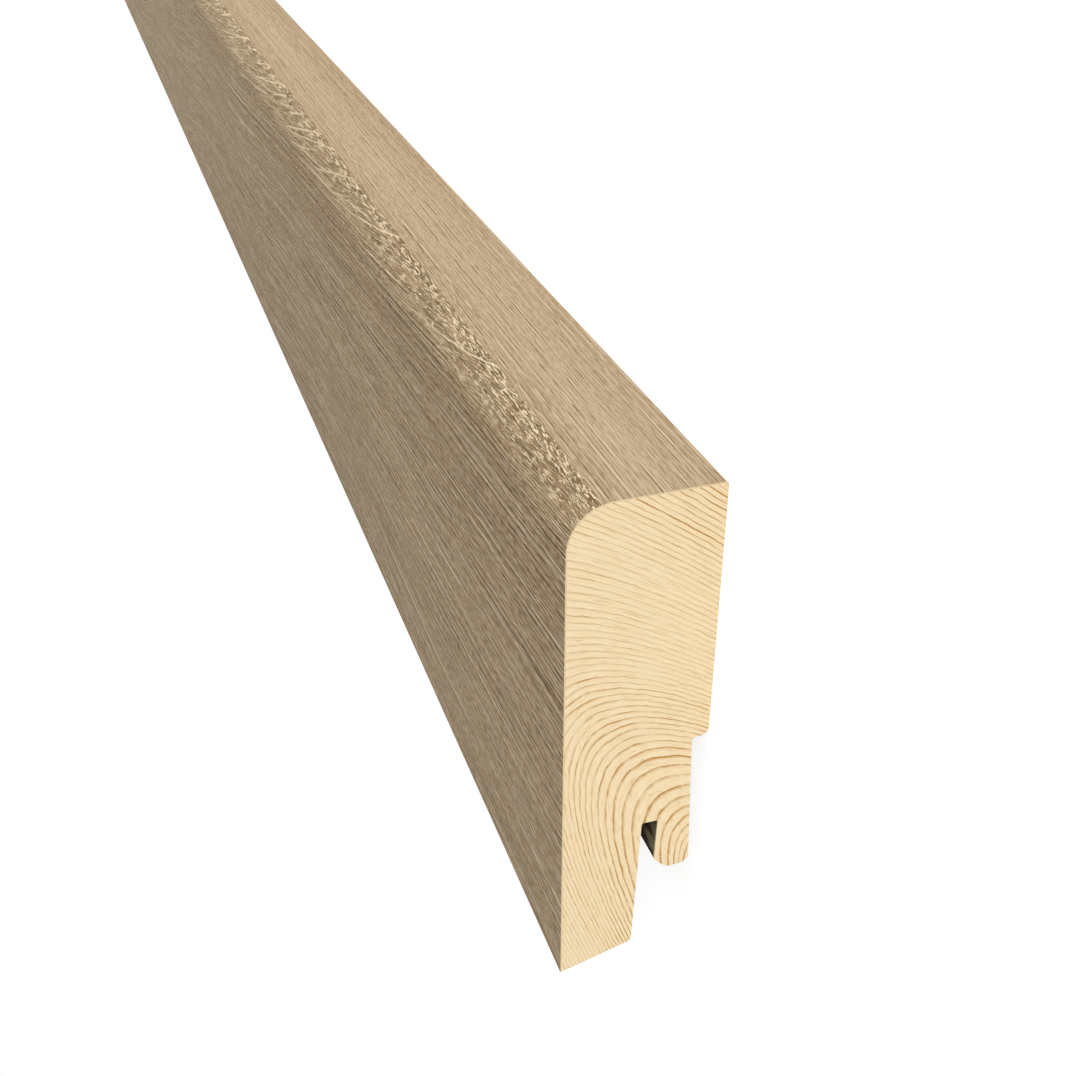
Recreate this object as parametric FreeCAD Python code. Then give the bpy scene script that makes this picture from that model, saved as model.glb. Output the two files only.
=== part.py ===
import FreeCAD, Part
import math
import os

# Skirting board length: a machined softwood core whose face, nose and top edge are
# wrapped in one thin decor foil. The board lies on its back, so the decor face is up:
# X runs from the toe to the top edge, Y along the board, Z from the wall face to the
# decor face. The origin is in the middle of the board, on the plane of the wall face.
# All lengths are in millimetres and all angles in degrees.

# The whole board
board_height = 60.0
board_thickness = 16.0
board_length = 2400.0

# The decor foil and the edges that it covers
foil_thickness = 0.15
nose_radius = 4.8
top_arris_trim = 0.3

# The toe, undercut so that only its front arris meets the floor covering
toe_undercut_angle = 14.8
toe_radius = 0.7

# The recess in the lower half of the back
recess_height = 30.0
recess_depth = 1.85
recess_corner_radius = 1.0
recess_root_radius = 0.4

# The slot that the fixing clips push up into, open downwards behind the leg
leg_thickness = 9.0
slot_tilt = 2.1
slot_width = 1.85
slot_end_height = 19.65
slot_root_radius = 0.25

# The tongue that hangs down behind the slot and that the clips grip
tongue_end_height = 12.4
tongue_taper = 2.06
tongue_lead_in = 1.5
tongue_lead_in_radius = 0.8
tongue_corner_radius = 1.05


def section_point(depth, height):
    """A point of the section, by its depth behind the decor face and its height."""
    return FreeCAD.Vector(height - board_height / 2,
                          -board_length / 2,
                          board_thickness - depth)


def rounded_outline(corners):
    """A closed wire through the corners (depth, height, radius of the rounding)."""
    points = [section_point(depth, height) for depth, height, _ in corners]
    starts, ends, arcs = [], [], []
    for index, (_, _, radius) in enumerate(corners):
        corner = points[index]
        to_last = (points[index - 1] - corner).normalize()
        to_next = (points[(index + 1) % len(points)] - corner).normalize()
        if radius == 0:
            starts.append(corner)
            ends.append(corner)
            arcs.append(None)
            continue
        half_angle = to_last.getAngle(to_next) / 2
        tangent_length = radius / math.tan(half_angle)
        bisector = (to_last + to_next).normalize()
        centre = corner + bisector * (radius / math.sin(half_angle))
        starts.append(corner + to_last * tangent_length)
        ends.append(corner + to_next * tangent_length)
        arcs.append(Part.Arc(starts[-1], centre - bisector * radius, ends[-1]))
    edges = []
    for index, arc in enumerate(arcs):
        if arc:
            edges.append(arc.toShape())
        following = starts[(index + 1) % len(starts)]
        edges.append(Part.LineSegment(ends[index], following).toShape())
    return Part.Wire(edges)


def along_board(corners):
    """The solid that has this section from one end of the board to the other."""
    face = Part.Face(rounded_outline(corners))
    return face.extrude(FreeCAD.Vector(0, board_length, 0))


def toe_height(depth):
    """Height of the undercut underside of the toe at this depth."""
    return depth * math.tan(math.radians(toe_undercut_angle))


def leg_back(height):
    """Depth of the back of the leg, which runs on as the slot's front wall."""
    return leg_thickness - (slot_end_height - height) * math.tan(math.radians(slot_tilt))


def tongue_front(height):
    """Depth of the slot's rear wall, parallel to its front wall."""
    return leg_back(height) + slot_width / math.cos(math.radians(slot_tilt))


def tongue_back(height):
    """Depth of the back of the tongue, which leans towards the wall as it goes down."""
    lean = (recess_height - height) * math.tan(math.radians(tongue_taper))
    return board_thickness - recess_depth + lean


def toe_corners():
    """Where the toe's underside meets the foil and, further back, the leg's back."""
    tilt = math.tan(math.radians(slot_tilt))
    slope = math.tan(math.radians(toe_undercut_angle))
    back_depth = leg_back(0) / (1 - tilt * slope)
    return [(foil_thickness, toe_height(foil_thickness), 0),
            (back_depth, toe_height(back_depth), toe_radius)]


def slot_corners():
    """The two corners at the blind end of the slot, which is square to its walls."""
    tilt = math.radians(slot_tilt)
    rear_depth = leg_thickness + slot_width * math.cos(tilt)
    rear_height = slot_end_height - slot_width * math.sin(tilt)
    return [(leg_thickness, slot_end_height, slot_root_radius),
            (rear_depth, rear_height, slot_root_radius)]


def tongue_corners():
    """Down the slot's rear wall, over the lead-in and up the back to the recess root."""
    lead_in_height = tongue_end_height + tongue_lead_in
    lead_in_depth = tongue_front(lead_in_height)
    return [(lead_in_depth, lead_in_height, tongue_lead_in_radius),
            (lead_in_depth + tongue_lead_in, tongue_end_height, tongue_lead_in_radius),
            (tongue_back(tongue_end_height), tongue_end_height, tongue_corner_radius),
            (tongue_back(recess_height), recess_height, recess_root_radius)]


def back_corners():
    """The wall face from the recess up to the trimmed top arris."""
    core_height = board_height - foil_thickness
    trim_left = top_arris_trim - foil_thickness
    return [(board_thickness, recess_height, recess_corner_radius),
            (board_thickness, core_height - trim_left, 0),
            (board_thickness - trim_left, core_height, 0)]


def softwood_core():
    nose = [(foil_thickness, board_height - foil_thickness, nose_radius - foil_thickness)]
    return along_board(toe_corners() + slot_corners() + tongue_corners()
                       + back_corners() + nose)


def decor_foil():
    inner_height = board_height - foil_thickness
    inner_radius = nose_radius - foil_thickness
    outer_end = board_thickness - top_arris_trim
    inner_end = outer_end + foil_thickness
    return along_board([(0, 0, 0),
                        (0, board_height, nose_radius),
                        (outer_end, board_height, 0),
                        (inner_end, inner_height, 0),
                        (foil_thickness, inner_height, inner_radius),
                        (foil_thickness, toe_height(foil_thickness), 0)])


os.makedirs("parts", exist_ok=True)
pieces = {"softwood_core": softwood_core(), "decor_foil": decor_foil()}
for name, solid in pieces.items():
    solid.exportStep(os.path.join("parts", name + ".step"))
    print(name, "valid", solid.isValid(), "volume", round(solid.Volume), "mm3")
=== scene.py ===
import math

import bmesh
import bpy
from mathutils import Matrix, Vector


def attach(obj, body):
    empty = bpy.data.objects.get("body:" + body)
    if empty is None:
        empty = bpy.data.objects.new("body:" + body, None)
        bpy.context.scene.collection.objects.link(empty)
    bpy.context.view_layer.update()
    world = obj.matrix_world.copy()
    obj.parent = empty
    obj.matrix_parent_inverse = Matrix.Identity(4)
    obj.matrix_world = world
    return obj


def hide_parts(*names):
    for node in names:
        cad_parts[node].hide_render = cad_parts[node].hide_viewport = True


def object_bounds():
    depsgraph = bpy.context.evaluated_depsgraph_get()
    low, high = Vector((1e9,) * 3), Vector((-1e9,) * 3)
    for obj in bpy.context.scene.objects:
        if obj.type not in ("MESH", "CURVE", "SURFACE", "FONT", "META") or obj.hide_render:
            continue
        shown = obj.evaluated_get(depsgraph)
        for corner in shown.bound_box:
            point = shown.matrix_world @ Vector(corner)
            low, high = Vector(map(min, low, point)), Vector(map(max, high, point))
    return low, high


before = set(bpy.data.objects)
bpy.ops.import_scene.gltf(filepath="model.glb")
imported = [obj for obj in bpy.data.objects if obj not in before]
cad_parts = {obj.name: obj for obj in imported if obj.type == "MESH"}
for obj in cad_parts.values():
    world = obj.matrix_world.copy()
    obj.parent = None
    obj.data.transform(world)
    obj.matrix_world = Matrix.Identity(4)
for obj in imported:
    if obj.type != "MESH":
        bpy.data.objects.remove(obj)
cadLow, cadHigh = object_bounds()

mm = 0.001

# the board's overall sizes come from the frame, in metres
board = {
    "length": cadHigh.y - cadLow.y,
    "height": cadHigh.x - cadLow.x,
    "thickness": cadHigh.z - cadLow.z,
}
print("frame loaded, board", {name: round(size, 4) for name, size in board.items()})

# the section, measured back from the decor face and up from the toe
section = {
    "foilThickness": 0.15 * mm,
    "noseRadius": 4.8 * mm,
    "arrisTrim": 0.3 * mm,
    "toeUndercut": math.radians(14.8),
    "toeRadius": 0.7 * mm,
    "recessHeight": 30.0 * mm,
    "recessDepth": 1.85 * mm,
    "recessCornerRadius": 1.0 * mm,
    "recessRootRadius": 0.4 * mm,
    "legThickness": 9.0 * mm,
    "slotTilt": math.radians(2.1),
    "slotWidth": 1.85 * mm,
    "slotEnd": 19.65 * mm,
    "slotRootRadius": 0.25 * mm,
    "tongueEnd": 12.4 * mm,
    "tongueTaper": math.radians(2.06),
    "leadIn": 1.5 * mm,
    "leadInRadius": 0.8 * mm,
    "tongueCornerRadius": 1.05 * mm,
    "arcSteps": 14,
    "sharpAbove": math.radians(22),
    "weldDistance": 0.001 * mm,
}


# how a screen codes light: in a straight line up to the join, and by a power above it
screen = {"levels": 255, "join": 0.04045, "slope": 12.92, "lift": 0.055, "power": 2.4}


def tone(red, green, blue):
    # a colour as it is read off a screen, turned into what the shader wants
    def linear(value):
        value /= screen["levels"]
        if value < screen["join"]:
            return value / screen["slope"]
        return ((value + screen["lift"]) / (1 + screen["lift"])) ** screen["power"]
    return (linear(red), linear(green), linear(blue), 1.0)


class Wire:
    # one output of a node; a sum on it adds the Math node that works it out
    def __init__(self, bench, socket):
        self.bench = bench
        self.socket = socket

    def out(self, name):
        return Wire(self.bench, self.socket.node.outputs[name])

    def __add__(self, other):
        return self.bench.maths("ADD", self, other)

    def __radd__(self, other):
        return self.bench.maths("ADD", other, self)

    def __sub__(self, other):
        return self.bench.maths("SUBTRACT", self, other)

    def __rsub__(self, other):
        return self.bench.maths("SUBTRACT", other, self)

    def __mul__(self, other):
        return self.bench.maths("MULTIPLY", self, other)

    def __rmul__(self, other):
        return self.bench.maths("MULTIPLY", other, self)

    def __truediv__(self, other):
        return self.bench.maths("DIVIDE", self, other)

    def __pow__(self, other):
        return self.bench.maths("POWER", self, other)

    def __abs__(self):
        return self.bench.maths("ABSOLUTE", self)


class Bench:
    # where one node tree is put together
    def __init__(self, tree):
        self.tree = tree

    def node(self, kind, settings=None, sockets=None, output=0):
        made = self.tree.nodes.new(kind)
        for name, value in (settings or {}).items():
            if name == "stops":
                self.setStops(made.color_ramp, value)
            elif name == "points":
                self.setPoints(made.mapping, value)
            else:
                setattr(made, name, value)
        for name, value in (sockets or {}).items():
            if isinstance(value, Wire):
                self.tree.links.new(value.socket, made.inputs[name])
            else:
                made.inputs[name].default_value = value
        return Wire(self, made.outputs[output]) if made.outputs else made

    def setStops(self, ramp, stops):
        while len(ramp.elements) < len(stops):
            ramp.elements.new(0.5)
        for element, (place, colour) in zip(ramp.elements, stops):
            element.position = place
            element.color = colour

    def setPoints(self, mapping, points):
        curve = mapping.curves[0]
        curve.points[0].location, curve.points[1].location = points[0], points[-1]
        for point in points[1:-1]:
            curve.points.new(*point)
        mapping.update()

    def maths(self, operation, first, second=0.0):
        return self.node("ShaderNodeMath", {"operation": operation}, {0: first, 1: second})

    def step(self, value, start, end):
        # 0 below start, 1 above end, and smooth between them
        return self.node("ShaderNodeMapRange", {"interpolation_type": "SMOOTHSTEP", "clamp": True},
                         {"Value": value, "From Min": start, "From Max": end})

    def between(self, value, rise, fall):
        # 0 outside a range and 1 inside it, smooth over the two spans
        return self.step(value, *rise) * (1 - self.step(value, *fall))

    def noise(self, kind, x, y, z=1.0):
        # waves are how many there are to a unit of x, y and z
        inX, inY, inZ = kind["waves"]
        place = self.node("ShaderNodeCombineXYZ", None, {0: x * inX, 1: y * inY, 2: z * inZ})
        return self.node("ShaderNodeTexNoise", {"noise_dimensions": "3D"}, {
            "Vector": place, "Scale": 1.0, "Detail": kind.get("detail", 2.0),
            "Roughness": kind.get("roughness", 0.5), "Distortion": kind.get("distortion", 0.0)})

    def blend(self, factor, first, second, kind="MIX"):
        # A and B of the colour kind are the seventh and eighth sockets of a Mix node
        return self.node("ShaderNodeMix", {"data_type": "RGBA", "blend_type": kind, "clamp_factor": True},
                         {0: factor, 6: first, 7: second}, output=2)


def startMaterial(name):
    material = bpy.data.materials.new(name)
    material.use_nodes = True
    material.node_tree.nodes.clear()
    return material, Bench(material.node_tree)


def endMaterial(bench, colour, roughness, height, reliefDepth, gloss):
    bump = bench.node("ShaderNodeBump", None, {"Height": height, "Distance": reliefDepth, "Strength": 1.0})
    surface = bench.node("ShaderNodeBsdfPrincipled", None, {
        "Base Color": colour, "Roughness": roughness, "Normal": bump, "Specular IOR Level": gloss})
    bench.node("ShaderNodeOutputMaterial", None, {"Surface": surface})


# the pine: rings are level lines of a field that opens out from a centre low behind the board
# lengths are in mm behind the face, up from the toe and along from the near end
pine = {
    "ringCentre": (34.25, -10.33),          # behind the face and above the toe
    "ringLean": 0.6735,
    "ringSquash": 0.479,
    "ringDrift": (3.595, -5.261),
    "aroundScale": 34.0,                    # mm to a radian round the rings
    "wander": {"behind": 14.0, "up": 9.0, "setsIn": (0.0, 260.0)},   # how the centre moves along the board
    "waver": 0.55,                          # how unsteady each ring's line is
    "fieldSpan": (0, 120),
    # how many rings have grown at each value of the field
    "growth": [(20, -11), (26.8, -4), (28.4, -2), (30.7, 0), (39.5, 6), (45.9, 13), (51.0, 19),
               (58.4, 27), (67.1, 35), (79.0, 46), (87.5, 53), (100, 64)],
    "ringSpan": (-20.0, 80.0),
    "ringShift": 0.94,
    # how dark the latewood is at each value of the field
    "latewood": [(20, 0.6), (38, 0.82), (44, 0.76), (52, 0.6), (60, 0.44), (73, 0.48),
                 (80, 0.75), (100, 0.75)],
    "swell": (0.4, 0.95),                   # where in a ring the latewood sets in
    "swellPower": 3.0,
    "ringEdge": (0.96, 1.0),                # and where it ends
    "evenness": {"least": 0.65, "byRing": 0.5, "byPlace": 1.3},
    "upperBack": {"lean": 0.35, "setsIn": (26.0, 33.0), "extra": 0.12},
    "leg": {"depth": (4.5, 7.5), "height": (9.0, 20.0), "extra": 0.4},
    "boldRings": [(45.9, 0.12), (51.0, 0.1), (79.0, 0.75), (85.0, 0.2), (87.5, 0.5)],
    "boldWidth": (0.45, 0.7),
    "boldDepth": (5.0, 10.0),
    "breaks": {"cut": (0.35, 0.62), "least": 0.55, "gain": 0.7},
    "rayShare": 0.6,
    "paleCut": (0.4, 0.62),
    "dashes": {"shift": 9 / 3.4, "cut": (0.6, 0.74), "strength": 0.35},
    "boldTone": (0.3, 0.9),
    # how quickly each kind of noise changes behind the face, or from ring to ring; up, or round the rings;
    # and along the board
    "noise": {
        "wander": {"waves": (0.03, 0.03, 0.003), "detail": 1.0},
        "waver": {"waves": (0.45, 0.45, 0.02), "detail": 3.0},
        "patches": {"waves": (0.16, 0.16, 0.01)},
        "breaks": {"waves": (0.6, 0.9, 0.03), "roughness": 0.7},
        "rays": {"waves": (3.1, 0.7, 0.05), "detail": 3.0, "roughness": 0.65},
        "specks": {"waves": (5.0, 5.0, 0.2), "roughness": 0.6},
        "dashes": {"waves": (3.4, 1.1, 0.1), "detail": 1.0},
        # streaks in the painted shade inside the saw slot
        "shadeStreaks": {"waves": (1.1, 0.9, 0.2), "detail": 3.0, "roughness": 0.6},
    },
    # the saw slot: where the painted shade inside it lies, and how far from each end of the board it begins
    "slot": {"front": (8.3, 8.6), "rear": (11.2, 11.6), "mouth": (12.0, 15.0), "mouthLean": 2.0,
             "blindEnd": (19.3, 19.9), "fromEnd": (0.02, 0.3), "shadeStreakCut": (0.36, 0.62),
             "shadeStreakEnds": (16.5, 20.0)},
    "light": tone(240, 215, 172),
    "pale": tone(247, 227, 189),
    "faintRing": tone(198, 162, 103),
    "boldRing": tone(192, 141, 70),
    # painted shade on the saw slot's walls, and the lighter streaks in it
    "slotShade": tone(58, 46, 32),
    "slotShadeStreak": tone(150, 138, 104),
    "roughness": 0.62,
    "ringSheen": 0.12,
    "relief": 0.02 * mm,
    "speckRelief": 0.4,
    "gloss": 0.12,
}


def pineField(bench, depth, height, along):
    # grows outward from the heart of the tree; the same field makes end grain and long grain
    lean, squash = pine["ringLean"], pine["ringSquash"]
    centreDepth, centreHeight = pine["ringCentre"]
    driftX, driftY = pine["ringDrift"]
    wander = bench.noise(pine["noise"]["wander"], depth, height, along) - 0.5
    wander = wander * bench.step(along, *pine["wander"]["setsIn"])
    x = depth - centreDepth + wander * pine["wander"]["behind"]
    y = height - centreHeight + wander * pine["wander"]["up"]
    spread = x * x + 2 * lean * x * y + squash * y * y
    slant = x * (driftX + lean * driftY) + y * (lean * driftX + squash * driftY)
    rest = 1 - (driftX ** 2 + 2 * lean * driftX * driftY + squash * driftY ** 2)
    field = (bench.maths("SQRT", slant * slant + rest * spread) - slant) / rest
    around = bench.maths("ARCTAN2", y, x) * pine["aroundScale"]
    return field, around


def overField(bench, field, points, low=0.0, high=1.0):
    # reads a curve that is drawn over the field
    start, end = pine["fieldSpan"]
    scaled = [((at - start) / (end - start), (value - low) / (high - low)) for at, value in points]
    place = (field - start) / (end - start)
    curve = bench.node("ShaderNodeFloatCurve", {"points": scaled}, {"Value": place})
    return curve * (high - low) + low


def latewoodStrength(bench, field, rings, depth, height, along):
    # how dark each ring is: by the field, by chance, by place, and bolder for a few of them
    number = bench.maths("FLOOR", rings)
    chance = bench.node("ShaderNodeTexWhiteNoise", {"noise_dimensions": "1D"}, {"W": number + 0.5})
    patches = bench.noise(pine["noise"]["patches"], depth, height, along) - 0.5
    even, back, leg = pine["evenness"], pine["upperBack"], pine["leg"]
    unevenness = even["least"] + chance * even["byRing"] + patches * even["byPlace"]
    strength = overField(bench, field, pine["latewood"]) * unevenness
    strength = strength + bench.step(depth + height * back["lean"], *back["setsIn"]) * back["extra"]
    onLeg = bench.step(depth, *leg["depth"]) * (1 - bench.step(height, *leg["height"]))
    strength = strength + onLeg * leg["extra"]
    for at, extra in pine["boldRings"]:
        bold = (1 - bench.step(abs(field - at), *pine["boldWidth"])) * bench.step(depth, *pine["boldDepth"])
        strength = strength + bold * extra
    return strength


def slotShadeMask(bench, depth, height, along):
    # where shade is painted: 1 on the walls of the saw slot, a little way in from its mouth and from the
    # sawn ends
    slot = pine["slot"]
    length = board["length"] / mm
    near, inside = slot["fromEnd"]
    upward = bench.step(height + (depth - slot["front"][0]) * slot["mouthLean"], *slot["mouth"])
    upward = upward * (1 - bench.step(height, *slot["blindEnd"]))
    alongIt = bench.between(along, (near, inside), (length - inside, length - near))
    return upward * bench.between(depth, slot["front"], slot["rear"]) * alongIt


def pineMaterial():
    material, bench = startMaterial("pine")
    noise = pine["noise"]
    place = bench.node("ShaderNodeTexCoord", None, None, output="Object")
    xyz = bench.node("ShaderNodeSeparateXYZ", None, {0: place})
    height = xyz.out("X") / mm + board["height"] / 2 / mm
    along = xyz.out("Y") / mm + board["length"] / 2 / mm
    depth = board["thickness"] / mm - xyz.out("Z") / mm

    field, around = pineField(bench, depth, height, along)
    field = field + (bench.noise(noise["waver"], depth, height, along) - 0.5) * pine["waver"]
    rings = overField(bench, field, pine["growth"], *pine["ringSpan"]) + pine["ringShift"]

    # latewood darkens outward through the ring and stops at a sharp edge
    phase = bench.maths("FRACT", rings)
    swell = bench.step(phase, *pine["swell"]) ** pine["swellPower"]
    line = swell * (1 - bench.step(phase, *pine["ringEdge"]))
    strength = latewoodStrength(bench, field, rings, depth, height, along)
    breaks = pine["breaks"]
    broken = bench.step(bench.noise(noise["breaks"], rings, around, along), *breaks["cut"])
    line = line * strength * (breaks["least"] + broken * breaks["gain"])

    # fine rays and pores between the ring lines
    rays = bench.noise(noise["rays"], rings, around, along)
    specks = bench.noise(noise["specks"], depth, height, along)
    mottle = rays * pine["rayShare"] + specks * (1 - pine["rayShare"])
    base = bench.blend(bench.step(mottle, *pine["paleCut"]), pine["light"], pine["pale"])
    dashes = bench.noise(noise["dashes"], rings + pine["dashes"]["shift"], around, along)
    dashes = bench.step(dashes, *pine["dashes"]["cut"]) * pine["dashes"]["strength"]
    base = bench.blend(dashes, base, pine["faintRing"])
    ringColour = bench.blend(bench.step(strength, *pine["boldTone"]), pine["faintRing"], pine["boldRing"])
    colour = bench.blend(line, base, ringColour)

    # painted shade inside the saw slot, dark with lighter streaks, where little light reaches
    slot = pine["slot"]
    shadeStreaks = bench.step(bench.noise(noise["shadeStreaks"], depth, height, along), *slot["shadeStreakCut"])
    shadeStreaks = shadeStreaks * (1 - bench.step(height, *slot["shadeStreakEnds"]))
    paintedSlotShade = bench.blend(shadeStreaks, pine["slotShade"], pine["slotShadeStreak"])
    colour = bench.blend(slotShadeMask(bench, depth, height, along), colour, paintedSlotShade)
    endMaterial(bench, colour, pine["roughness"] - line * pine["ringSheen"],
                specks * pine["speckRelief"] - line, pine["relief"], pine["gloss"])
    return material


# the decor foil: oak print, measured along the board and round its girth from the toe, in mm
decor = {
    "stops": [(0.0, tone(80, 62, 40)), (0.3, tone(140, 115, 82)), (0.5, tone(177, 154, 121)),
              (0.7, tone(206, 186, 156)), (1.0, tone(238, 224, 198))],
    "faceTone": 0.498,
    "topTone": 0.548,
    "faceEnds": (55.0, 61.0),
    # the figure changes twice on its way from the near end
    "changes": (25.0, 130.0),
    "settles": (140.0, 300.0),
    # each layer of streaks: how many to a mm along and across the grain, how soft their edges are,
    # how much of the layer shows on the face and on the top edge, and how that grows farther on
    "layers": {
        "broad": {"along": 0.006, "across": 0.09, "soft": 0.5, "face": 0.05, "top": 0.05, "far": 1.0},
        "bands": {"along": 0.01, "across": 0.4, "soft": 0.3, "face": 0.06, "top": 0.0, "far": 1.0},
        "flecks": {"along": 0.35, "across": 3.6, "soft": 0.12, "face": 0.11, "top": 0.0, "far": 1.4},
        "specks": {"along": 0.7, "across": 4.6, "soft": 0.1, "face": 0.28, "top": 0.12, "far": 0.8},
    },
    # each set of grain lines: how far apart, how long a line lasts, and how much of them shows
    "lines": {
        "wide": {"pitch": 1.2, "lasts": 60.0, "face": 0.115, "top": 0.02, "far": 1.35},
        "close": {"pitch": 0.72, "lasts": 25.0, "face": 0.2, "top": 0.055, "far": 1.65},
        "fine": {"pitch": 0.5, "lasts": 9.0, "face": 0.25, "top": 0.1, "far": 1.75},
        "finest": {"pitch": 0.31, "lasts": 3.5, "face": 0.41, "top": 0.28, "far": 1.05},
    },
    "lineDrift": {"along": 0.005, "across": 0.5, "reach": 2.4},
    "lineBreaks": {"across": 0.45, "cut": (0.3, 0.7), "gain": 1.4, "less": 0.4},
    "linesSettled": 0.38,                   # how much weaker the lines are where the figure has settled
    "linesUnderBand": 0.45,                 # and just under the flakes
    # the path of the grain: it runs down the face and fans out, waves, and curls far from the end
    "path": {
        "fall": 0.06, "fan": 0.03, "fanReach": 200.0, "fanGirth": (0.0, 50.0),
        "wave": 2.15, "waveStart": 235.0, "waveLength": 150.0, "waveRise": (90.0, 230.0),
        "waveEnd": (420.0, 600.0), "waveCalm": 0.6, "calmGirth": (34.0, 50.0),
        "hump": 4.0, "humpRise": (45.0, 98.0), "humpEnd": (112.0, 190.0), "humpGirth": (7.0, 26.0),
        "curl": 9.0, "curlRise": (380.0, 600.0), "ripple": 0.6, "endGirth": (61.2, 61.5),
    },
    # broad changes of tone
    "underBand": {"rise": (40.0, 52.0), "fall": (54.0, 58.0), "darker": 0.045},
    "curls": {"cut": (0.34, 0.66), "strength": 0.11},
    "lowFace": {"girth": (18.0, 42.0), "darker": 0.04, "settled": 0.5},
    "onward": {"along": (60.0, 200.0), "darker": 0.025},
    "farFace": {"along": (240.0, 320.0), "paler": 0.025},
    "topMiddle": {"rise": (62.0, 65.0), "fall": (67.0, 71.0), "paler": 0.05, "rims": 0.02},
    # pale lines rise only so far above the ground tone; past that, this much of them is held back
    "paleLimit": {"over": 0.055, "face": 0.25, "top": 0.65},
    # rows of open pores: rows to a mm of the grain's path, and how they close up higher on the face
    "pores": {"rows": 0.25, "closing": 0.004, "unsteady": 2.0, "row": (0.03, 0.2), "cut": (0.47, 0.6),
              "darker": 0.12},
    "warmth": (0.98, 0.954, 0.905, 1.0),
    "warmCut": (0.42, 0.6),
    "toeShade": {"girth": (0.5, 1.3), "strength": 0.35},
    # ray flakes: a band of marks on the nose, ragged below and sharp above
    "flakes": {
        "rise": (54.5, 58.5), "rag": 4.0, "edge": (61.35, 61.5), "edgeWander": 0.5,
        "settle": 60.0, "nearRun": 42.0, "farRun": 0.3, "tilt": 0.1, "lift": 3.0,
        "wiggle": 0.4, "lineWidth": (0.02, 0.05), "dashSlant": 2 / 9, "dashCut": (0.53, 0.61),
        "upper": (59.6, 60.5), "upperLines": 0.6, "shadeCut": (0.4, 0.62), "upperShade": 0.3,
        "marks": 0.97, "marksFainter": 0.2, "cover": 0.4, "coverMiddle": 0.35, "coverUpper": 0.2,
        "middle": (56.8, 59.0),
        "dark": tone(98, 77, 49), "mid": tone(133, 111, 79), "light": tone(230, 210, 176),
    },
    # pale threads that leave the band: a few long ones near the end, and many farther on
    "fewThreads": {"gap": 44.0, "first": 9.0, "steep": 0.21, "width": 0.15, "fade": (3.0, 6.5),
                   "strength": 0.8},
    "manyThreads": {"gap": 13.0, "first": 70.0, "steep": 0.3, "width": 0.3, "fade": (3.5, 8.0),
                    "strength": 0.6, "setsIn": (80.0, 120.0), "cut": (0.42, 0.56)},
    # a thread's bends, its slope at the band and how that grows, its solid middle and its first stretch
    "thread": {"waves": (0.06, 0.3), "slice": 15.0, "bend": 1.2, "slope": 0.8, "slopeGrowth": 0.1,
               "middle": 0.3, "start": (0.0, 0.02)},
    "rays": {"cut": (0.54, 0.66), "along": (70.0, 200.0), "girth": (40.0, 57.0), "strength": 0.25},
    "layerSlice": 1.0,                      # the first layer's slice of the noise, and the first lines'
    "lineSlice": 34.0,
    # how quickly each kind of noise changes along and across, and which slice of the noise it is
    "noise": {
        "curl": {"waves": (0.012, 0.035, 5.0)},
        "ripple": {"waves": (0.09, 0.12, 9.0), "detail": 1.0},
        "curls": {"waves": (0.13, 1.0, 27.0), "detail": 3.0, "roughness": 0.6, "distortion": 0.4},
        "rows": {"waves": (0.01, 0.2, 21.0)},
        "pores": {"waves": (0.06, 2.4, 22.0), "roughness": 0.6},
        "warmth": {"waves": (0.012, 0.07, 8.0)},
        "edge": {"waves": (0.35, 7.0, 0.0)},
        "rag": {"waves": (0.1, 0.5, 11.0)},
        "wiggle": {"waves": (1.8, 1.2, 20.0), "detail": 1.0},
        "lines": {"waves": (0.34, 4.6, 12.0), "detail": 1.0},
        "dashes": {"waves": (0.9, 4.6, 13.0), "detail": 1.0},
        "shade": {"waves": (0.16, 1.3, 14.0), "detail": 3.0, "roughness": 0.6},
        "rays": {"waves": (0.16, 1.1, 17.0), "distortion": 0.2},
        "threads": {"waves": (0.08, 0.25, 18.0), "detail": 1.0},
    },
    "cutEdge": tone(226, 202, 162),
    "cutDepth": 0.01,
    "roughness": 0.6,
    "speckRoughness": 0.1,
    "relief": 0.03 * mm,
    "gloss": 0.06,
}


def grainLane(bench, along, girth):
    # a grain line keeps to one value of this
    path, noise = decor["path"], decor["noise"]
    fading = bench.maths("EXPONENT", along / -path["fanReach"])
    fan = bench.step(girth, *path["fanGirth"]) * 2.0 - 1
    fall = along * path["fall"] + (1 - fading) * (path["fanReach"] * path["fan"]) * fan
    turn = bench.maths("SINE", (along - path["waveStart"]) * (2 * math.pi / path["waveLength"]))
    calm = 1 - bench.step(girth, *path["calmGirth"]) * path["waveCalm"]
    wave = turn * bench.between(along, path["waveRise"], path["waveEnd"]) * calm * path["wave"]
    hump = bench.between(along, path["humpRise"], path["humpEnd"]) * path["hump"]
    hump = hump * (1 - bench.step(girth, *path["humpGirth"]))
    curl = (bench.noise(noise["curl"], along, girth) - 0.5) * path["curl"]
    curl = curl * bench.step(along, *path["curlRise"])
    ripple = (bench.noise(noise["ripple"], along, girth) - 0.5) * path["ripple"]
    bend = fall - wave - hump + curl + ripple
    return girth + bend * (1 - bench.step(girth, *path["endGirth"]))


def grainLines(bench, along, lane, line, seed):
    # even lines that follow the grain; their spacing breathes and each one comes and goes
    drifts, breaks = decor["lineDrift"], decor["lineBreaks"]
    across = lane / line["pitch"]
    driftWaves = (drifts["along"], drifts["across"], seed)
    drift = bench.noise({"waves": driftWaves, "detail": 1.0}, along, across)
    wave = bench.maths("SINE", (across + drift * drifts["reach"]) * (2 * math.pi))
    breakWaves = (1 / line["lasts"], breaks["across"], seed + 0.5)
    strength = bench.noise({"waves": breakWaves, "detail": 0.0}, along, across)
    return wave * (bench.step(strength, *breaks["cut"]) * breaks["gain"] - breaks["less"])


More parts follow.
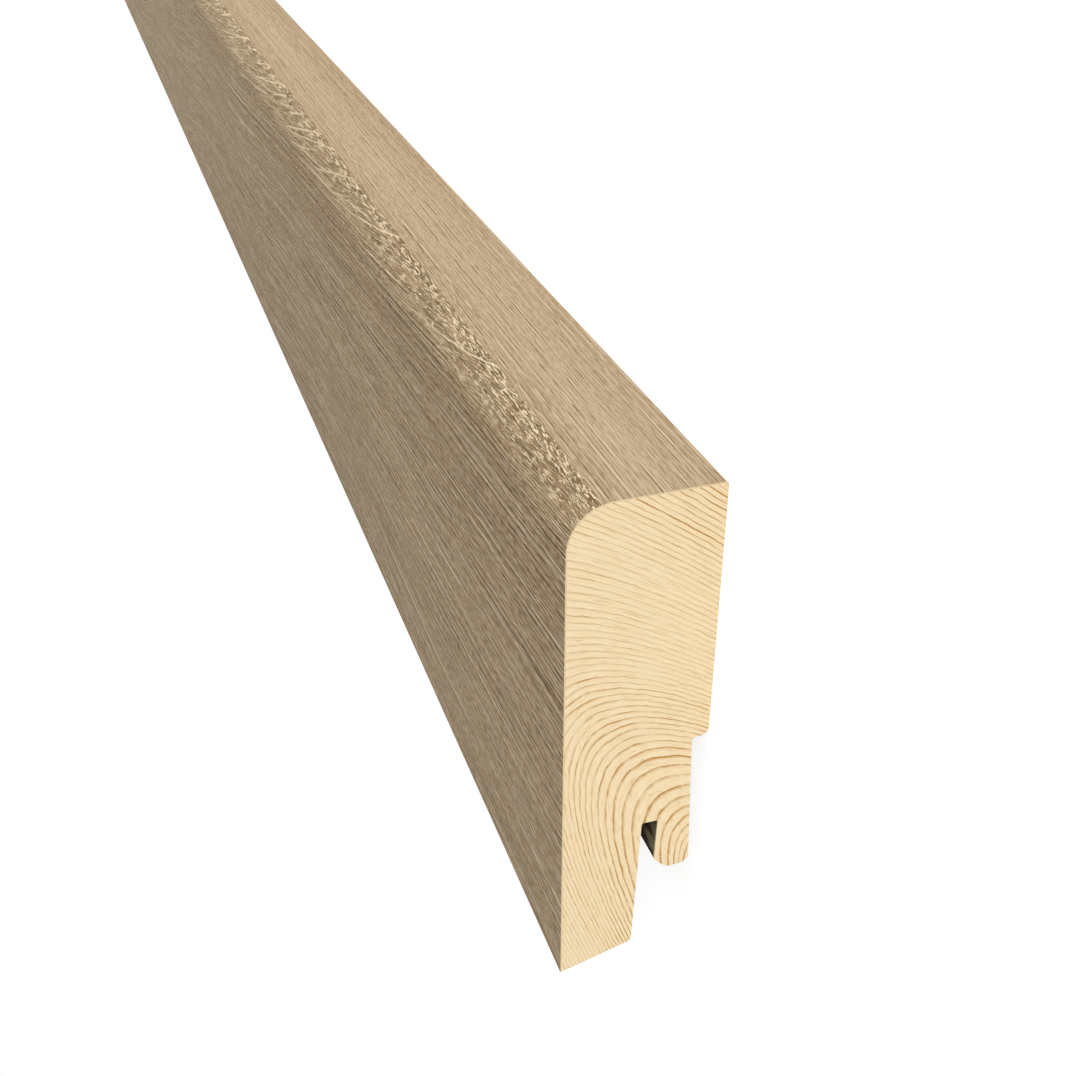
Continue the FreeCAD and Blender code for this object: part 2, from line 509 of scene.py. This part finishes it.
def decorTone(bench, along, girth, lane, face, farOn, farther):
    # how light the print is, from 0 to 1, with the layer of specks to give the lacquer its roughness
    def shown(onFace, onTop):
        return onTop + face * (onFace - onTop)

    ground = shown(decor["faceTone"], decor["topTone"])
    underBand = bench.between(girth, decor["underBand"]["rise"], decor["underBand"]["fall"])
    lightness = ground - underBand * decor["underBand"]["darker"]
    made = {}
    for number, (name, layer) in enumerate(decor["layers"].items()):
        waves = (layer["along"], layer["across"], number + decor["layerSlice"])
        streaks = bench.noise({"waves": waves, "detail": 1.0}, along, lane)
        made[name] = bench.step(streaks, 0.5 - layer["soft"], 0.5 + layer["soft"])
        onFace = layer["face"] * (1 + farOn * (layer["far"] - 1))
        lightness = lightness + (made[name] - 0.5) * shown(onFace, layer["top"])
    for number, line in enumerate(decor["lines"].values()):
        onFace = line["face"] * (1 + farOn * (line["far"] - 1)) * (1 - farther * decor["linesSettled"])
        onFace = onFace * (1 - underBand * farOn * decor["linesUnderBand"])
        lines = grainLines(bench, along, lane, line, number + decor["lineSlice"])
        lightness = lightness + lines * shown(onFace, line["top"])

    curls, low, onward = decor["curls"], decor["lowFace"], decor["onward"]
    curled = bench.step(bench.noise(decor["noise"]["curls"], along, lane), *curls["cut"]) - 0.5
    lightness = lightness + curled * farther * face * curls["strength"]
    lowOn = farOn * (1 - farther * low["settled"]) * (1 - bench.step(girth, *low["girth"]))
    lightness = lightness - lowOn * low["darker"] - bench.step(along, *onward["along"]) * onward["darker"]
    farFace, middle = decor["farFace"], decor["topMiddle"]
    lightness = lightness + bench.step(along, *farFace["along"]) * face * farFace["paler"]
    topShift = bench.between(girth, middle["rise"], middle["fall"]) * middle["paler"] - middle["rims"]
    lightness = lightness + topShift * (1 - face)

    limit = decor["paleLimit"]
    over = bench.maths("MAXIMUM", lightness - ground - limit["over"], 0.0)
    lightness = lightness - over * shown(limit["face"], limit["top"])

    # rows of open pores follow the growth rings
    pores = decor["pores"]
    unsteady = (bench.noise(decor["noise"]["rows"], along, lane) - 0.5) * pores["unsteady"]
    ringPlace = lane * pores["rows"] + lane * lane * pores["closing"] + unsteady
    row = abs(bench.maths("FRACT", ringPlace) - 0.5)
    dashed = bench.step(bench.noise(decor["noise"]["pores"], along, lane), *pores["cut"])
    lightness = lightness - (1 - bench.step(row, *pores["row"])) * dashed * face * pores["darker"]
    return lightness, made["specks"]


def flakeMarks(bench, run, tilted, girth, upper):
    # pale marks in the band of ray flakes: wavy lines below, short dashes close under the edge
    flakes, noise = decor["flakes"], decor["noise"]
    wiggle = (bench.noise(noise["wiggle"], run, tilted) - 0.5) * flakes["wiggle"]
    contour = bench.noise(noise["lines"], run, tilted + wiggle)
    wavy = 1 - bench.step(abs(contour - 0.5), *flakes["lineWidth"])
    dashes = bench.noise(noise["dashes"], run + girth * flakes["dashSlant"], girth)
    dashes = bench.step(dashes, *flakes["dashCut"])
    return wavy * (1 - upper * (1 - flakes["upperLines"])) + dashes * upper


def threads(bench, along, fall, kind):
    # each leaves the upper edge of the band and crosses the grain at a slant
    thread = decor["thread"]
    travel = kind["gap"] * kind["steep"]
    waves = (*thread["waves"], thread["slice"] + kind["gap"])
    bend = bench.noise({"waves": waves, "detail": 1.0}, along, fall)
    drop = fall * (thread["slope"] + fall * thread["slopeGrowth"]) - (bend - 0.5) * thread["bend"]
    begun = (along - kind["first"]) / kind["gap"] - drop / travel
    offset = abs(bench.maths("FRACT", begun) - 0.5) * travel
    drawn = 1 - bench.step(offset, kind["width"] * thread["middle"], kind["width"])
    drawn = drawn * bench.step(begun, *thread["start"]) * (1 - bench.step(fall, *kind["fade"]))
    return drawn * kind["strength"]


def layFlakes(bench, colour, along, girth, farOn):
    # the flake band, the threads that leave it and the soft rays below it
    flakes, noise = decor["flakes"], decor["noise"]
    light = flakes["light"]
    edge = girth + (bench.noise(noise["edge"], along, 1.0) - 0.5) * flakes["edgeWander"]
    top = 1 - bench.step(edge, *flakes["edge"])
    rag = girth + (bench.noise(noise["rag"], along, girth) - 0.5) * flakes["rag"]
    band = bench.step(rag, *flakes["rise"]) * top
    upper = bench.step(edge, *flakes["upper"])

    # the marks grow longer over the first part of the board
    settle = bench.maths("EXPONENT", along / -flakes["settle"])
    run = along * flakes["farRun"] + (1 - settle) * flakes["nearRun"]
    tilted = girth + along * flakes["tilt"] + settle * flakes["lift"]
    marks = flakeMarks(bench, run, tilted, girth, upper)
    shade = bench.step(bench.noise(noise["shade"], run, tilted), *flakes["shadeCut"])
    shade = shade * (1 - upper * (1 - flakes["upperLines"])) + upper * flakes["upperShade"]
    bandGround = bench.blend(shade, flakes["dark"], flakes["mid"])
    bandColour = bench.blend(marks * (flakes["marks"] - farOn * flakes["marksFainter"]), bandGround, light)
    middle = bench.step(girth, *flakes["middle"])
    cover = flakes["cover"] + middle * flakes["coverMiddle"] + upper * flakes["coverUpper"]
    colour = bench.blend(band * cover, colour, bandColour)

    fall = flakes["edge"][0] - girth
    few, many = decor["fewThreads"], decor["manyThreads"]
    patchy = bench.step(bench.noise(noise["threads"], along, girth), *many["cut"])
    farThreads = threads(bench, along, fall, many) * patchy * bench.step(along, *many["setsIn"])
    colour = bench.blend((threads(bench, along, fall, few) + farThreads) * top, colour, light)

    rays = decor["rays"]
    shine = bench.step(bench.noise(noise["rays"], run, tilted), *rays["cut"])
    shine = shine * bench.step(along, *rays["along"]) * bench.step(girth, *rays["girth"]) * top
    return bench.blend(shine * rays["strength"], colour, light)


def decorMaterial():
    material, bench = startMaterial("oakDecor")
    laid = bench.node("ShaderNodeUVMap", {"uv_map": "decor"})
    uv = bench.node("ShaderNodeSeparateXYZ", None, {0: laid})
    along = uv.out("X") / mm
    girth = uv.out("Y") / mm
    face = 1 - bench.step(girth, *decor["faceEnds"])
    farOn = bench.step(along, *decor["changes"])
    farther = bench.step(along, *decor["settles"])
    lane = grainLane(bench, along, girth)
    lightness, specks = decorTone(bench, along, girth, lane, face, farOn, farther)

    colour = bench.node("ShaderNodeValToRGB", {"stops": decor["stops"]}, {"Fac": lightness})
    cooler = bench.step(bench.noise(decor["noise"]["warmth"], along, lane), *decor["warmCut"]) * farther
    colour = bench.blend((1 - cooler) * face, colour, decor["warmth"], "MULTIPLY")
    toe = decor["toeShade"]
    darkTone = decor["stops"][1][1]
    colour = bench.blend((1 - bench.step(girth, *toe["girth"])) * toe["strength"], colour, darkTone)
    colour = layFlakes(bench, colour, along, girth, farOn)

    # the sawn ends of the foil show its pale paper
    length, cutDepth = board["length"] / mm, decor["cutDepth"]
    cut = 1 - bench.between(along, (0.0, cutDepth), (length - cutDepth, length))
    colour = bench.blend(cut, colour, decor["cutEdge"])
    endMaterial(bench, colour, decor["roughness"] + (specks - 0.5) * decor["speckRoughness"],
                lightness, decor["relief"], decor["gloss"])
    return material


def sectionPoint(depth, height):
    # the profile lies in its own plane, and is swept along the board later
    return (height - board["height"] / 2, depth - board["thickness"], 0.0)


def coreCorners():
    # corners of the softwood, each with the radius that rounds it
    s = section
    tilt, slope, taper = math.tan(s["slotTilt"]), math.tan(s["toeUndercut"]), math.tan(s["tongueTaper"])
    foil, top = s["foilThickness"], board["height"] - s["foilThickness"]
    back = board["thickness"]

    def legBack(height):
        return s["legThickness"] - (s["slotEnd"] - height) * tilt

    def tongueFront(height):
        return legBack(height) + s["slotWidth"] / math.cos(s["slotTilt"])

    def tongueBack(height):
        return back - s["recessDepth"] + (s["recessHeight"] - height) * taper

    toeDepth = legBack(0) / (1 - tilt * slope)
    slotRear = s["legThickness"] + s["slotWidth"] * math.cos(s["slotTilt"])
    slotRearTop = s["slotEnd"] - s["slotWidth"] * math.sin(s["slotTilt"])
    leadTop = s["tongueEnd"] + s["leadIn"]
    trim = s["arrisTrim"] - foil
    return [
        (foil, foil * slope, 0),
        (toeDepth, toeDepth * slope, s["toeRadius"]),
        (s["legThickness"], s["slotEnd"], s["slotRootRadius"]),
        (slotRear, slotRearTop, s["slotRootRadius"]),
        (tongueFront(leadTop), leadTop, s["leadInRadius"]),
        (tongueFront(leadTop) + s["leadIn"], s["tongueEnd"], s["leadInRadius"]),
        (tongueBack(s["tongueEnd"]), s["tongueEnd"], s["tongueCornerRadius"]),
        (tongueBack(s["recessHeight"]), s["recessHeight"], s["recessRootRadius"]),
        (back, s["recessHeight"], s["recessCornerRadius"]),
        (back, top - trim, 0),
        (back - trim, top, 0),
        (foil, top, s["noseRadius"] - foil),
    ]


def foilCorners():
    # corners of the foil: up the face, over the nose and top, and back on the inside
    s = section
    foil, top = s["foilThickness"], board["height"]
    end = board["thickness"] - s["arrisTrim"]
    return [
        (0, 0, 0),
        (0, top, s["noseRadius"]),
        (end, top, 0),
        (end + foil, top - foil, 0),
        (foil, top - foil, s["noseRadius"] - foil),
        (foil, foil * math.tan(s["toeUndercut"]), 0),
    ]


def profileLoop(name, corners):
    # a loop of edges through the corners, which the node tree rounds and sweeps
    mesh = bpy.data.meshes.new(name)
    count = len(corners)
    mesh.from_pydata([sectionPoint(depth, height) for depth, height, _ in corners],
                     [(index, (index + 1) % count) for index in range(count)], [])
    rounding = mesh.attributes.new("rounding", "FLOAT", "POINT")
    for index, corner in enumerate(corners):
        rounding.data[index].value = corner[2]
    loop = bpy.data.objects.new(name, mesh)
    bpy.context.scene.collection.objects.link(loop)
    return loop


def sweepTree():
    # rounds the profile, sweeps it along the board and closes both ends
    tree = bpy.data.node_groups.new("sweptMoulding", "GeometryNodeTree")
    ports = {}
    for name, kind in (("Profile", "NodeSocketGeometry"), ("Length", "NodeSocketFloat"),
                       ("Arc steps", "NodeSocketInt"), ("Finish", "NodeSocketMaterial")):
        ports[name] = tree.interface.new_socket(name, in_out="INPUT", socket_type=kind).identifier
    tree.interface.new_socket("Moulding", in_out="OUTPUT", socket_type="NodeSocketGeometry")
    bench = Bench(tree)
    given = bench.node("NodeGroupInput")
    radius = bench.node("GeometryNodeInputNamedAttribute", {"data_type": "FLOAT"}, {"Name": "rounding"})
    outline = bench.node("GeometryNodeMeshToCurve", None, {"Mesh": given.out("Profile")})
    rounded = bench.node("GeometryNodeFilletCurve", {"mode": "POLY"}, {
        "Curve": outline, "Count": given.out("Arc steps"), "Radius": radius})
    half = given.out("Length") * 0.5
    start = bench.node("ShaderNodeCombineXYZ", None, {"Y": half * -1.0})
    end = bench.node("ShaderNodeCombineXYZ", None, {"Y": half})
    run = bench.node("GeometryNodeCurvePrimitiveLine", None, {"Start": start, "End": end})
    upright = bench.node("GeometryNodeSetCurveNormal", {"mode": "Z_UP"}, {"Curve": run})
    swept = bench.node("GeometryNodeCurveToMesh", None, {
        "Curve": upright, "Profile Curve": rounded, "Fill Caps": True})
    real = bench.node("GeometryNodeRealizeInstances", None, {"Geometry": swept})
    finished = bench.node("GeometryNodeSetMaterial", None, {
        "Geometry": real, "Material": given.out("Finish")})
    bench.node("NodeGroupOutput", None, {0: finished})
    return tree, ports


def sweepPiece(name, corners, material, tree, ports):
    loop = profileLoop(name + "Profile", corners)
    growth = loop.modifiers.new("sweep", "NODES")
    growth.node_group = tree
    growth[ports["Length"]] = board["length"]
    growth[ports["Arc steps"]] = section["arcSteps"]
    growth[ports["Finish"]] = material
    bpy.context.view_layer.update()
    grown = loop.evaluated_get(bpy.context.evaluated_depsgraph_get())
    mesh = bpy.data.meshes.new_from_object(grown)
    bpy.data.objects.remove(loop)
    welded = bmesh.new()
    welded.from_mesh(mesh)
    bmesh.ops.remove_doubles(welded, verts=welded.verts, dist=section["weldDistance"])
    bmesh.ops.recalc_face_normals(welded, faces=welded.faces)
    welded.to_mesh(mesh)
    welded.free()
    mesh.shade_smooth()
    mesh.set_sharp_from_angle(angle=section["sharpAbove"])
    mesh.name = name
    piece = bpy.data.objects.new(name, mesh)
    bpy.context.scene.collection.objects.link(piece)
    return piece


def decorGirth(x, z):
    # distance over the foil from the toe, up the face, round the nose and back over the top
    radius = section["noseRadius"]
    up, behind = x + board["height"] / 2, board["thickness"] - z
    faceEnd = board["height"] - radius
    if up > faceEnd and behind < radius:
        turn = math.atan2(up - faceEnd, radius - behind)
        return faceEnd + turn * radius
    if behind < radius:
        return up
    return faceEnd + math.pi / 2 * radius + behind - radius


def layDecorOn(piece):
    # the map that the print reads, in metres along the board and round its girth
    mesh = piece.data
    layer = mesh.uv_layers.new(name="decor")
    for corner in mesh.loops:
        x, y, z = mesh.vertices[corner.vertex_index].co
        layer.data[corner.index].uv = (y + board["length"] / 2, decorGirth(x, z))


pineFinish, oakFinish = pineMaterial(), decorMaterial()
print("materials ready", pineFinish.name, oakFinish.name)

tree, ports = sweepTree()
core = sweepPiece("softwoodCore", coreCorners(), pineFinish, tree, ports)
foil = sweepPiece("decorFoil", foilCorners(), oakFinish, tree, ports)
layDecorOn(foil)
for piece, node, slot in ((core, "softwood_core", "pine"), (foil, "decor_foil", "oak_decor")):
    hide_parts(node)
    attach(piece, "root")
print("pieces made", [(piece.name, len(piece.data.polygons)) for piece in (core, foil)])

# the camera stands before the near end and looks along the board, in over the decor face
camera = {
    "beforeEnd": 0.09902,
    "inFrontOfFace": 0.03647,
    "aboveToe": 0.12190,
    "turnedIn": math.radians(18.860),
    "tiltedDown": math.radians(31.593),
    "lens": 46.0,
    "sensorWidth": 36.0,
    "clip": (0.005, 50.0),
}


def placeCamera():
    data = bpy.data.cameras.new("viewpoint")
    data.lens = camera["lens"]
    data.sensor_width = camera["sensorWidth"]
    data.clip_start, data.clip_end = camera["clip"]
    viewpoint = bpy.data.objects.new("viewpoint", data)
    bpy.context.scene.collection.objects.link(viewpoint)
    viewpoint.location = (camera["aboveToe"] - board["height"] / 2,
                          -board["length"] / 2 - camera["beforeEnd"],
                          board["thickness"] + camera["inFrontOfFace"])
    level, down = math.cos(camera["tiltedDown"]), math.sin(camera["tiltedDown"])
    ahead = Vector((-down, level * math.cos(camera["turnedIn"]), -level * math.sin(camera["turnedIn"])))
    upright = Vector((1, 0, 0))             # the board's top edge is up in the picture
    right = ahead.cross(upright).normalized()
    above = right.cross(ahead)
    viewpoint.rotation_euler = Matrix((right, above, -ahead)).transposed().to_euler()
    bpy.context.scene.camera = viewpoint


# soft light from the side of the top edge, white surroundings and a pale floor
studio = {
    "lampFrom": (0.745, -0.65, 0.14),
    "lampStrength": 4.6,
    "lampAngle": math.radians(40),
    "fill": 0.36,                           # how much light the surroundings give
    "floorTone": 0.35,
    "floorGlow": 0.83,                      # makes the floor white where the camera sees it
    "floorReach": 30.0,
}
white = (1, 1, 1, 1)


def softLamp(name, direction, strength, angle):
    data = bpy.data.lights.new(name, "SUN")
    data.energy = strength
    data.angle = angle
    lamp = bpy.data.objects.new(name, data)
    lamp.rotation_euler = Vector(direction).to_track_quat("Z", "Y").to_euler()
    bpy.context.scene.collection.objects.link(lamp)


def seenDirectly(bench):
    # 1 for what the camera sees, straight, mirrored or through glass
    path = bench.node("ShaderNodeLightPath")
    direct = path.out("Is Camera Ray") + path.out("Is Glossy Ray") + path.out("Is Transmission Ray")
    return bench.node("ShaderNodeClamp", None, {0: direct})


def setWorld():
    world = bpy.data.worlds.new("studio")
    bpy.context.scene.world = world
    world.use_nodes = True
    world.node_tree.nodes.clear()
    bench = Bench(world.node_tree)
    strength = studio["fill"] + seenDirectly(bench) * (1 - studio["fill"])
    light = bench.node("ShaderNodeBackground", None, {"Color": white, "Strength": strength})
    bench.node("ShaderNodeOutputWorld", None, {"Surface": light})


def setFloor():
    material, bench = startMaterial("paleFloor")
    grey, far = studio["floorTone"], studio["floorReach"]
    matt = bench.node("ShaderNodeBsdfDiffuse", None, {"Color": (grey, grey, grey, 1)})
    glow = bench.node("ShaderNodeEmission", None, {
        "Color": white, "Strength": seenDirectly(bench) * studio["floorGlow"]})
    both = bench.node("ShaderNodeAddShader", None, {0: matt, 1: glow})
    bench.node("ShaderNodeOutputMaterial", None, {"Surface": both})
    mesh = bpy.data.meshes.new("floor")
    mesh.from_pydata([(-far, -far, 0), (far, -far, 0), (far, far, 0), (-far, far, 0)], [], [(0, 1, 2, 3)])
    mesh.materials.append(material)
    floor = bpy.data.objects.new("floor", mesh)
    bpy.context.scene.collection.objects.link(floor)


placeCamera()
softLamp("sideLamp", studio["lampFrom"], studio["lampStrength"], studio["lampAngle"])
setWorld()
setFloor()
bpy.context.scene.view_settings.view_transform = "Standard"
print("camera, light and floor set")
